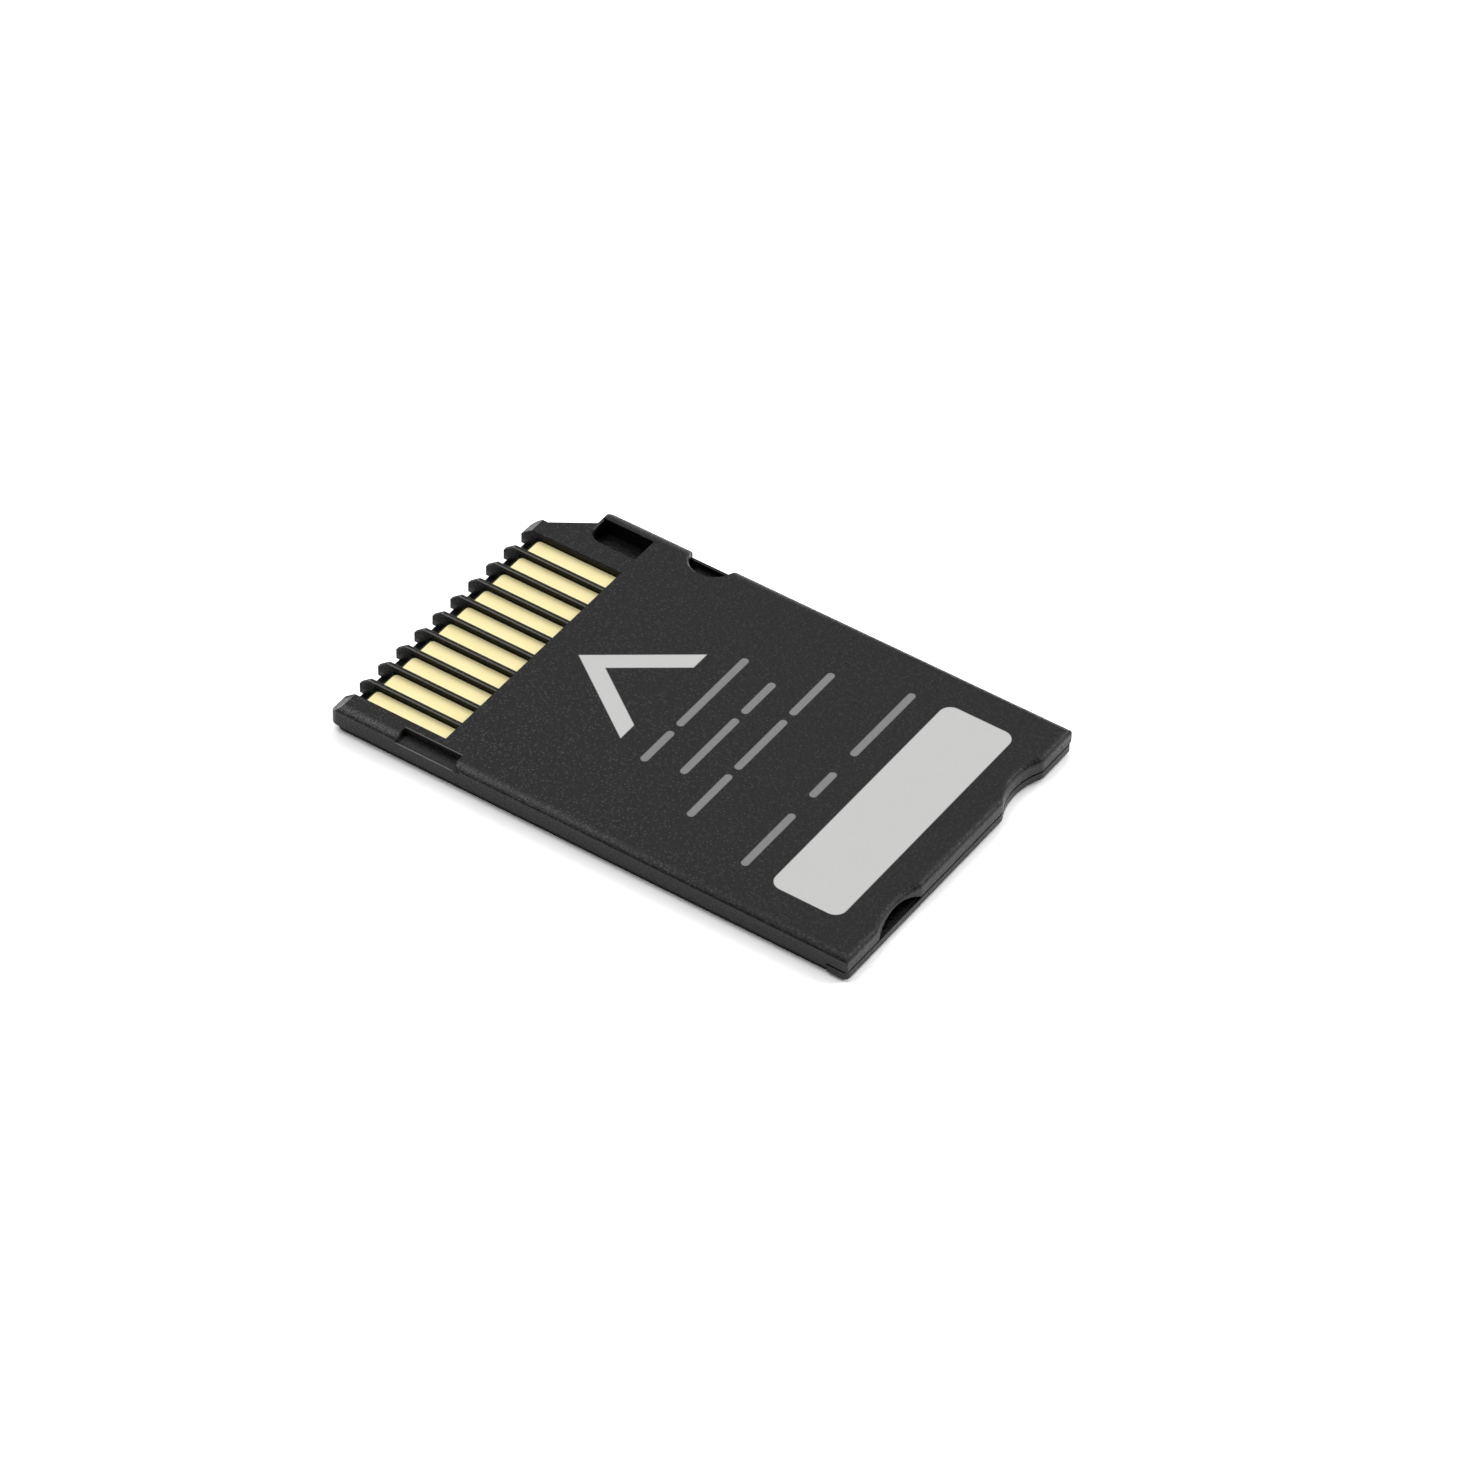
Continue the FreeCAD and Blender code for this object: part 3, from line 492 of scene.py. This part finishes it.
def solder_mask(name):
    """Dark green lacquer over woven laminate, with tracks showing through and bare laminate edges."""
    low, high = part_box("circuit_board")
    shader = Shader(name)
    threads = [axis.repeat(WEAVE_PITCH) / (WEAVE_PITCH / 2) for axis in (shader.x, shader.y)]
    weave = threads[0] + threads[1]
    wander = shader.noise(WANDER_SIZE, detail=1.0)
    across_tracks = (shader.x + wander * WANDER_REACH).repeat(TRACK_PITCH)
    tracks = shader.band(across_tracks, 0.0, TRACK_HALF_WIDTH, TRACK_EDGE)
    lacquer = shader.mix(tracks, LACQUER, LACQUER_OVER_TRACK)
    laminate = shader.brighten(LAMINATE, LAMINATE_TONE + weave * WEAVE_TONE)
    rim = shader.band(shader.z, low.z + LACQUER_THICKNESS, high.z - LACQUER_THICKNESS, LACQUER_EDGE)
    edge_x = shader.x.abs() > (high.x - BOARD_EDGE)
    edge_y = (shader.y > (high.y - BOARD_EDGE)).at_least(shader.y < (low.y + BOARD_EDGE))
    colour = shader.mix(rim * edge_x.at_least(edge_y), lacquer, laminate)
    height = tracks * TRACK_HEIGHT + weave * WEAVE_HEIGHT
    roughness = BOARD_ROUGHNESS + wander.swing(WANDER_ROUGHNESS)
    return shader.finish(colour, roughness, height, strength=0.5, depth=BOARD_DEPTH)


# Film between the board and the contact-side cover
BUBBLE_SIZE = 0.7 * MM
HAZE_SIZE = 1.5 * MM
FILM_THIN = srgb(176, 160, 118)
FILM_MILKY = srgb(206, 192, 150)
FILM_ROUGHNESS = 0.45
HAZE_ROUGHNESS = 0.2
BUBBLE_DEPTH = 0.01 * MM


def adhesive_film(name):
    """Milky adhesive film with trapped air."""
    shader = Shader(name)
    bubbles = shader.cells(BUBBLE_SIZE)
    haze = shader.noise(HAZE_SIZE, detail=3.0)
    colour = shader.mix(haze, FILM_THIN, FILM_MILKY)
    roughness = FILM_ROUGHNESS + haze.swing(HAZE_ROUGHNESS)
    return shader.finish(colour, roughness, bubbles, strength=0.3, depth=BUBBLE_DEPTH)


# Chip packages
GRIT_SIZE = 0.06 * MM
FLAKE_SIZE = 0.5 * MM
EPOXY = srgb(34, 34, 36)
EPOXY_TONE = 0.8
GRIT_TONE = 0.4
EPOXY_ROUGHNESS = 0.55
GRIT_ROUGHNESS = 0.2
GRIT_HEIGHT = 0.5
EPOXY_DEPTH = 0.02 * MM
LEAD_TIN = srgb(196, 197, 200)
LEAD_TONE = 0.9
FLAKE_TONE = 0.2
LEAD_SMOOTHING = 0.2
MEMORY_LEAD_INSET = 0.8 * MM
DIMPLE_INSET = 0.9 * MM
DIMPLE_RADIUS = 0.35 * MM


def chip_package(name, node, lead_inset=0.0):
    """Black moulded epoxy with an index dimple, and tin past the package's ends if it has leads."""
    low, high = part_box(node)
    shader = Shader(name)
    grit = shader.noise(GRIT_SIZE, detail=3.0)
    mark_x = shader.x - (low.x + DIMPLE_INSET)
    mark_y = shader.y - (low.y + lead_inset + DIMPLE_INSET)
    dimple = 1.0 - ((mark_x * mark_x + mark_y * mark_y).sqrt() / DIMPLE_RADIUS).clamped()
    colour = shader.brighten(EPOXY, EPOXY_TONE + grit * GRIT_TONE)
    roughness = EPOXY_ROUGHNESS + grit.swing(GRIT_ROUGHNESS)
    metal = 0.0
    if lead_inset:
        flakes = shader.noise(FLAKE_SIZE, detail=2.0)
        metal = (shader.y > (high.y - lead_inset)).at_least(shader.y < (low.y + lead_inset))
        tin = shader.brighten(LEAD_TIN, LEAD_TONE + flakes * FLAKE_TONE)
        colour = shader.mix(metal, colour, tin)
        roughness = roughness - metal * LEAD_SMOOTHING
    height = grit * GRIT_HEIGHT - dimple
    return shader.finish(colour, roughness, height, strength=0.5, depth=EPOXY_DEPTH, metallic=metal)


# Capacitors and resistors
FLECK_SIZE = 0.05 * MM
END_CAP = 0.22 * MM
UNDERSIDE_DEPTH = 0.03 * MM
CAP_TIN = srgb(200, 200, 202)
CERAMIC_TONE = 0.85
FLECK_TONE = 0.3
CERAMIC_ROUGHNESS = 0.4
FLECK_ROUGHNESS = 0.2
CERAMIC_DEPTH = 0.008 * MM
CAPACITOR_BODY = srgb(158, 128, 92)
CAPACITOR_UNDERSIDE = srgb(150, 118, 84)
RESISTOR_BODY = srgb(226, 224, 216)
RESISTOR_UNDERSIDE = srgb(26, 26, 28)


def ceramic_part(name, node, body_colour, underside_colour):
    """A small ceramic part: coloured body, an underside of its own colour and tinned end caps."""
    low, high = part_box(node)
    shader = Shader(name)
    middle = (low.x + high.x) / 2
    half = (high.x - low.x) / 2
    fleck = shader.noise(FLECK_SIZE, detail=3.0)
    caps = (shader.x - middle).abs() > (half - END_CAP)
    underside = shader.z < (low.z + UNDERSIDE_DEPTH)
    speckle = CERAMIC_TONE + fleck * FLECK_TONE
    ceramic = shader.brighten(shader.mix(underside, body_colour, underside_colour), speckle)
    colour = shader.mix(caps, ceramic, shader.brighten(CAP_TIN, speckle))
    roughness = CERAMIC_ROUGHNESS + fleck.swing(FLECK_ROUGHNESS)
    return shader.finish(colour, roughness, fleck, strength=0.4, depth=CERAMIC_DEPTH, metallic=caps)


def give(node, material):
    for slot in nodes[node].material_slots:
        slot.material = material


def dress_nodes():
    give("contact_side_cover", cover_plastic("printed_cover_plastic", printed=True))
    give("label_side_cover", cover_plastic("plain_cover_plastic", printed=False))
    give("circuit_board", solder_mask("board_lacquer"))
    give("bonding_film", adhesive_film("bonding_film_haze"))
    give("memory_chip", chip_package("memory_epoxy_and_leads", "memory_chip", MEMORY_LEAD_INSET))
    give("controller_chip", chip_package("controller_epoxy", "controller_chip"))
    gold = contact_gold("contact_gold")
    for node in nodes:
        if node.startswith("contact_") and node != "contact_side_cover":
            give(node, gold)
        elif node.startswith("capacitor_"):
            give(node, ceramic_part(f"{node}_ceramic", node, CAPACITOR_BODY, CAPACITOR_UNDERSIDE))
        elif node.startswith("resistor_"):
            give(node, ceramic_part(f"{node}_ceramic", node, RESISTOR_BODY, RESISTOR_UNDERSIDE))


# Solder between the board's underside and the parts' feet and end caps
LEADS_PER_END = 24
LEAD_PITCH = 0.5 * MM
LEAD_SOLDER = {"Across": 0.26 * MM, "Along": 0.34 * MM, "Height": 0.14 * MM}
CAP_SOLDER = {"Across": 0.40 * MM, "Along": 0.52 * MM, "Height": 0.26 * MM}
MENISCUS_NECK = 0.3
MOUND_SIDES = 12
MOUND_RINGS = 4
SOLDER_SPREAD = 0.12
SOLDER_SEED = 7
TIN_GRAIN_SIZE = 0.03 * MM
FLUX_SIZE = 0.4 * MM
COOL_TIN = srgb(186, 188, 190)
WARM_TIN = srgb(204, 203, 196)
TIN_ROUGHNESS = 0.32
FROST_ROUGHNESS = 0.2
TIN_DEPTH = 0.006 * MM


def tin_solder(name):
    """Dull tin with the fine grain that it sets with."""
    shader = Shader(name)
    frost = shader.noise(TIN_GRAIN_SIZE, detail=3.0)
    flux = shader.noise(FLUX_SIZE, detail=2.0)
    colour = shader.mix(flux, COOL_TIN, WARM_TIN)
    roughness = TIN_ROUGHNESS + frost.swing(FROST_ROUGHNESS)
    return shader.finish(colour, roughness, frost, strength=0.4, depth=TIN_DEPTH, metallic=1.0)


def solder_tree():
    """One hollow-sided mound of solder at each point, hanging from the board."""
    tree = bpy.data.node_groups.new("solder_joints", "GeometryNodeTree")
    tree.interface.new_socket("Joints", in_out="INPUT", socket_type="NodeSocketGeometry")
    for name in LEAD_SOLDER:
        tree.interface.new_socket(name, in_out="INPUT", socket_type="NodeSocketFloat")
    tree.interface.new_socket("Finish", in_out="INPUT", socket_type="NodeSocketMaterial")
    tree.interface.new_socket("Solder", in_out="OUTPUT", socket_type="NodeSocketGeometry")
    maker = NodeMaker(tree)
    joints, across, along, height, finish = (
        maker.node("NodeGroupInput", {}, {}, name)
        for name in ("Joints", "Across", "Along", "Height", "Finish"))
    drum = maker.node("GeometryNodeMeshCylinder", {"fill_type": "NGON"}, {
        "Vertices": MOUND_SIDES, "Side Segments": MOUND_RINGS, "Radius": 0.5, "Depth": 1.0})
    place = maker.node("GeometryNodeInputPosition", {}, {})
    level = maker.node("ShaderNodeSeparateXYZ", {}, {0: place}, "Z")
    from_board = 0.5 - level
    waist = from_board * from_board * (1.0 - MENISCUS_NECK) + MENISCUS_NECK
    stretch = maker.node("ShaderNodeCombineXYZ", {}, {0: waist, 1: waist, 2: 1.0})
    shaped = maker.node("ShaderNodeVectorMath", {"operation": "MULTIPLY"}, {0: place, 1: stretch})
    mound = maker.node("GeometryNodeSetPosition", {}, {"Geometry": drum, "Position": shaped})
    size = maker.node("ShaderNodeCombineXYZ", {}, {0: across, 1: along, 2: height})
    drop = maker.node("ShaderNodeCombineXYZ", {}, {2: height * -0.5})
    mound = maker.node("GeometryNodeTransform", {}, {
        "Geometry": mound, "Scale": size, "Rotation": (math.pi, 0.0, 0.0), "Translation": drop})
    mound = maker.node("GeometryNodeSetShadeSmooth", {}, {"Geometry": mound})
    amount = maker.node("FunctionNodeRandomValue", {"data_type": "FLOAT"}, {
        2: 1.0 - SOLDER_SPREAD, 3: 1.0 + SOLDER_SPREAD, "Seed": SOLDER_SEED}, 1)
    row = maker.node("GeometryNodeInstanceOnPoints", {}, {
        "Points": joints, "Instance": mound, "Scale": amount})
    row = maker.node("GeometryNodeRealizeInstances", {}, {"Geometry": row})
    row = maker.node("GeometryNodeSetMaterial", {}, {"Geometry": row, "Material": finish})
    maker.connect(row, tree.nodes.new("NodeGroupOutput").inputs["Solder"])
    return tree


def lead_toes():
    """The outer ends of the memory chip's feet."""
    low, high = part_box("memory_chip")
    middle = (low.x + high.x) / 2
    first = middle - LEAD_PITCH * (LEADS_PER_END - 1) / 2
    return [(first + LEAD_PITCH * lead, end) for end in (low.y, high.y) for lead in range(LEADS_PER_END)]


def end_caps():
    """Both ends of each capacitor and resistor."""
    ends = []
    for node in nodes:
        if node.startswith(("capacitor_", "resistor_")):
            low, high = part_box(node)
            middle = (low.y + high.y) / 2
            ends += [(low.x, middle), (high.x, middle)]
    return ends


def make_solder(name, places, sizes, tree, finish):
    """One piece with a mound of solder at each place on the board's underside."""
    board_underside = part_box("circuit_board")[0].z
    mesh = bpy.data.meshes.new(name)
    mesh.from_pydata([(x, y, board_underside) for x, y in places], [], [])
    piece = bpy.data.objects.new(name, mesh)
    bpy.context.scene.collection.objects.link(piece)
    modifier = piece.modifiers.new("solder", "NODES")
    modifier.node_group = tree
    sockets = {item.name: item.identifier for item in tree.interface.items_tree
               if item.in_out == "INPUT"}
    for key, size in sizes.items():
        modifier[sockets[key]] = size
    modifier[sockets["Finish"]] = finish
    evaluated = piece.evaluated_get(bpy.context.evaluated_depsgraph_get())
    piece.data = bpy.data.meshes.new_from_object(evaluated)
    piece.modifiers.clear()
    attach(piece, "root")


def solder_parts():
    tree = solder_tree()
    finish = tin_solder("tin_solder")
    make_solder("memory_lead_solder", lead_toes(), LEAD_SOLDER, tree, finish)
    make_solder("end_cap_solder", end_caps(), CAP_SOLDER, tree, finish)


# Studio: pale floor, even sky and five wide soft lights
FLOOR_REACH = 3.0
FLOOR_DROP = 0.01 * MM
FLOOR_WHITE = srgb(238, 238, 238)
FLOOR_SHOWN = (1.75, 1.75, 1.75, 1.0)
FLOOR_ROUGHNESS = 0.9


def make_floor():
    """A floor that the camera and reflections see brighter than the light it gives back."""
    sides = ((-1, -1), (1, -1), (1, 1), (-1, 1))
    corners = [(FLOOR_REACH * x, FLOOR_REACH * y, -FLOOR_DROP) for x, y in sides]
    mesh = bpy.data.meshes.new("floor")
    mesh.from_pydata(corners, [], [(0, 1, 2, 3)])
    floor = bpy.data.objects.new("floor", mesh)
    bpy.context.scene.collection.objects.link(floor)
    shader = Shader("floor_white")
    seen = [shader.node("ShaderNodeLightPath", {}, {}, f"Is {ray} Ray")
            for ray in ("Camera", "Glossy", "Transmission")]
    shown = seen[0].at_least(seen[1]).at_least(seen[2])
    white = shader.mix(shown, FLOOR_WHITE, FLOOR_SHOWN)
    mesh.materials.append(shader.finish(white, FLOOR_ROUGHNESS))
    shader.surface.inputs["Specular IOR Level"].default_value = 0.0


SKY_COLOUR = (1, 1, 1, 1)
SKY_STRENGTH = 0.20
SOFT_LIGHTS = (
    ("back_window", (0.607, 0.404, 0.684), 22.0, 0.95),
    ("overhead_right", (0.10, 0.404, 0.91), 20.0, 1.5),
    ("overhead_left", (-0.24, 0.404, 0.882), 21.0, 1.9),
    ("right_upper", (0.607, -0.18, 0.774), 15.0, 2.8),
    ("right_lower", (0.607, -0.64, 0.47), 16.0, 5.4),
)


def make_lights():
    """An even sky, and wide soft lights given by direction, half angle in degrees and brightness."""
    world = bpy.data.worlds.new("studio")
    world.use_nodes = True
    background = world.node_tree.nodes["Background"]
    background.inputs["Color"].default_value = SKY_COLOUR
    background.inputs["Strength"].default_value = SKY_STRENGTH
    bpy.context.scene.world = world
    for name, direction, half_angle, brightness in SOFT_LIGHTS:
        spread = math.radians(half_angle)
        data = bpy.data.lights.new(name, "SUN")
        data.angle = 2 * spread
        data.energy = brightness * math.pi * math.sin(spread) ** 2
        lamp = bpy.data.objects.new(name, data)
        lamp.location = Vector(direction)
        lamp.rotation_euler = (-Vector(direction)).to_track_quat("-Z", "Y").to_euler()
        bpy.context.scene.collection.objects.link(lamp)


bpy.context.scene.view_settings.view_transform = "Standard"
place_camera()
make_floor()
make_lights()
dress_nodes()
solder_parts()
